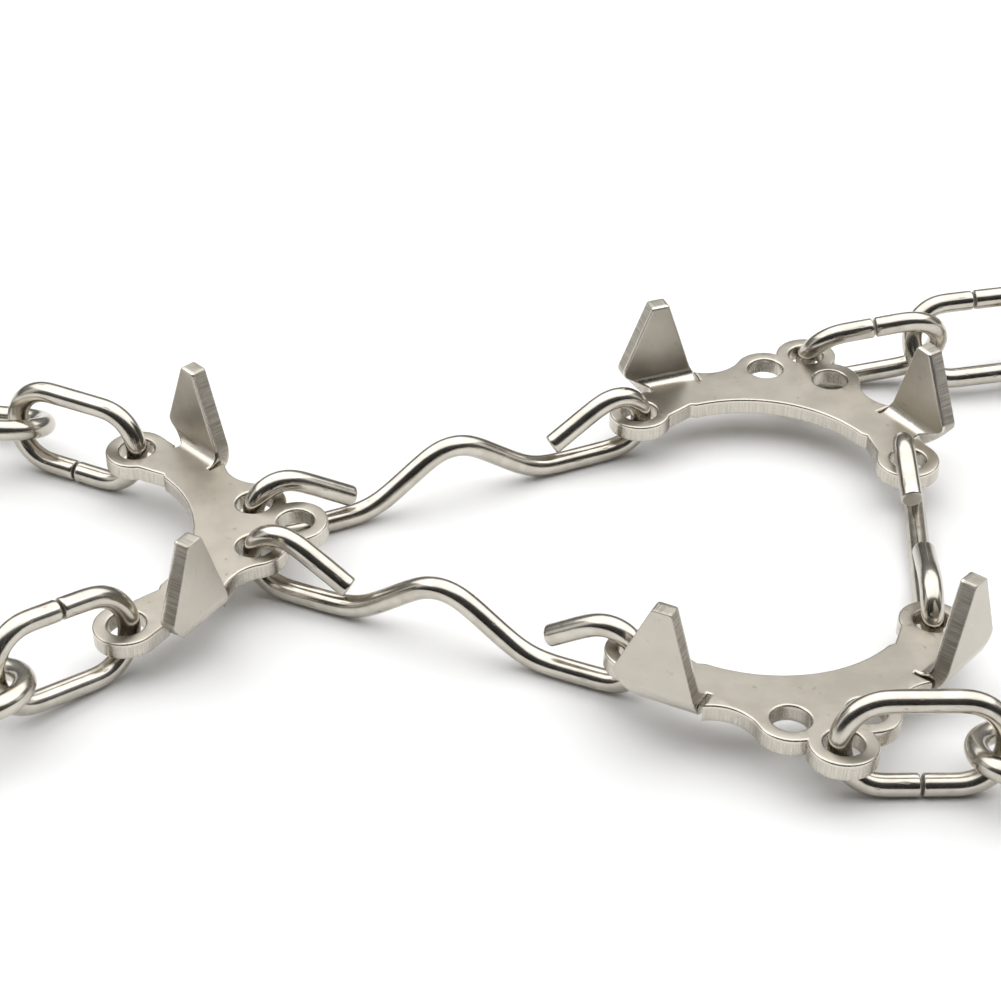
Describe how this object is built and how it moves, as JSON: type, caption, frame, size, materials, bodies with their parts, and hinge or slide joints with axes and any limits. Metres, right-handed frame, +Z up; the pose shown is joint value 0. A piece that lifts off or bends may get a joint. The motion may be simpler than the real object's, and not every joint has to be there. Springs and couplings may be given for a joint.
{
  "type": "shoe ice cleats",
  "caption": "Chain-and-plate shoe ice cleats: folded toothed plates in a ring of hooked wires, with short link chains that lead to a harness.",
  "frame": {"origin": "centre of the laid-out object's box, on the ground it lies on", "axes": "+X from the single rear plate toward the pair of front plates, +Y toward the far plate, +Z up, the way the teeth point"},
  "size_m": [0.2018, 0.1088, 0.0209],
  "materials": {
    "satin_plate": "satin nickel plate with bright rims",
    "bright_wire": "bright nickel plate",
    "bright_link": "bright nickel plate, drawn and bent wire"
  },
  "bodies": {
    "rear_tooth_plate": {"rear_tooth_plate": "satin_plate"},
    "far_tooth_plate": {"far_tooth_plate": "satin_plate"},
    "near_tooth_plate": {"near_tooth_plate": "satin_plate"},
    "far_long_wire": {"far_long_wire": "bright_wire"},
    "near_long_wire": {"near_long_wire": "bright_wire"},
    "front_short_wire": {"front_short_wire": "bright_wire"},
    "rear_far_link_1": {"rear_far_link_1": "bright_link"},
    "rear_far_link_2": {"rear_far_link_2": "bright_link"},
    "rear_far_link_3": {"rear_far_link_3": "bright_link"},
    "rear_near_link_1": {"rear_near_link_1": "bright_link"},
    "rear_near_link_2": {"rear_near_link_2": "bright_link"},
    "rear_near_link_3": {"rear_near_link_3": "bright_link"},
    "front_far_link_1": {"front_far_link_1": "bright_link"},
    "front_far_link_2": {"front_far_link_2": "bright_link"},
    "front_far_link_3": {"front_far_link_3": "bright_link"},
    "front_near_link_1": {"front_near_link_1": "bright_link"},
    "front_near_link_2": {"front_near_link_2": "bright_link"},
    "front_near_link_3": {"front_near_link_3": "bright_link"}
  },
  "joints": [
    {"name": "far_wire_swing", "type": "hinge", "parent": "rear_tooth_plate", "child": "far_long_wire", "pos_m": [-0.03156, 0.00433, 0.00664], "axis": [0, 0, 1], "range_deg": [-12, 12]},
    {"name": "near_wire_swing", "type": "hinge", "parent": "rear_tooth_plate", "child": "near_long_wire", "pos_m": [-0.03077, -0.00533, 0.00639], "axis": [0, 0, 1], "range_deg": [-12, 12]},
    {"name": "far_plate_swing", "type": "hinge", "parent": "far_long_wire", "child": "far_tooth_plate", "pos_m": [0.02202, 0.02807, 0.00573], "axis": [0, 0, 1], "range_deg": [-28.6, 28.6]},
    {"name": "near_plate_swing", "type": "hinge", "parent": "near_long_wire", "child": "near_tooth_plate", "pos_m": [0.01899, -0.02875, 0.00675], "axis": [0, 0, 1], "range_deg": [-28.6, 28.6]},
    {"name": "short_wire_swing", "type": "hinge", "parent": "far_tooth_plate", "child": "front_short_wire", "pos_m": [0.05891, 0.01574, 0.00546], "axis": [0, 0, 1], "range_deg": [-18.6, 18.6]},
    {"name": "rear_far_link_1_swing", "type": "hinge", "parent": "rear_tooth_plate", "child": "rear_far_link_1", "pos_m": [-0.04908, 0.01757, 0.00671], "axis": [0, 0, 1], "range_deg": [-40, 18]},
    {"name": "rear_far_link_2_swing", "type": "hinge", "parent": "rear_far_link_1", "child": "rear_far_link_2", "pos_m": [-0.06723, 0.02642, 0.00739], "axis": [-0.0737, -0.0997, -0.9923], "range_deg": [-40, 40]},
    {"name": "rear_far_link_3_swing", "type": "hinge", "parent": "rear_far_link_2", "child": "rear_far_link_3", "pos_m": [-0.08321, 0.0304, 0.00536], "axis": [-0.2439, -0.8879, 0.3901], "range_deg": [-45, 45]},
    {"name": "rear_near_link_1_swing", "type": "hinge", "parent": "rear_tooth_plate", "child": "rear_near_link_1", "pos_m": [-0.04594, -0.02119, 0.00569], "axis": [0, 0, 1], "range_deg": [-18, 40]},
    {"name": "rear_near_link_2_swing", "type": "hinge", "parent": "rear_near_link_1", "child": "rear_near_link_2", "pos_m": [-0.06055, -0.03435, 0.00875], "axis": [-0.013, 0.1919, 0.9813], "range_deg": [-40, 40]},
    {"name": "rear_near_link_3_swing", "type": "hinge", "parent": "rear_near_link_2", "child": "rear_near_link_3", "pos_m": [-0.07547, -0.0413, 0.006], "axis": [0.4028, -0.8953, 0.1903], "range_deg": [-45, 45]},
    {"name": "front_far_link_1_swing", "type": "hinge", "parent": "far_tooth_plate", "child": "front_far_link_1", "pos_m": [0.04741, 0.04267, 0.00613], "axis": [0, 0, 1], "range_deg": [-20, 40]},
    {"name": "front_far_link_2_swing", "type": "hinge", "parent": "front_far_link_1", "child": "front_far_link_2", "pos_m": [0.0673, 0.04525, 0.00841], "axis": [-0.0622, -0.3858, 0.9205], "range_deg": [-32, 45]},
    {"name": "front_far_link_3_swing", "type": "hinge", "parent": "front_far_link_2", "child": "front_far_link_3", "pos_m": [0.08338, 0.04788, 0.00822], "axis": [-0.1181, 0.5619, 0.8187], "range_deg": [-50, 55]},
    {"name": "front_near_link_1_swing", "type": "hinge", "parent": "near_tooth_plate", "child": "front_near_link_1", "pos_m": [0.04255, -0.04615, 0.00618], "axis": [0, 0, 1], "range_deg": [-40, 18]},
    {"name": "front_near_link_2_swing", "type": "hinge", "parent": "front_near_link_1", "child": "front_near_link_2", "pos_m": [0.06225, -0.04591, 0.00693], "axis": [-0.006, -0.208, -0.9781], "range_deg": [-40, 40]},
    {"name": "front_near_link_3_swing", "type": "hinge", "parent": "front_near_link_2", "child": "front_near_link_3", "pos_m": [0.07856, -0.0482, 0.00466], "axis": [0.1274, 0.975, -0.182], "range_deg": [-55, 55]}
  ],
  "couplings": [
    {"joint": "near_wire_swing", "follows": "far_wire_swing", "ratio": -1},
    {"joint": "far_plate_swing", "follows": "far_wire_swing", "ratio": -2.3778},
    {"joint": "near_plate_swing", "follows": "far_wire_swing", "ratio": 2.3778},
    {"joint": "short_wire_swing", "follows": "far_wire_swing", "ratio": 1.5483}
  ]
}
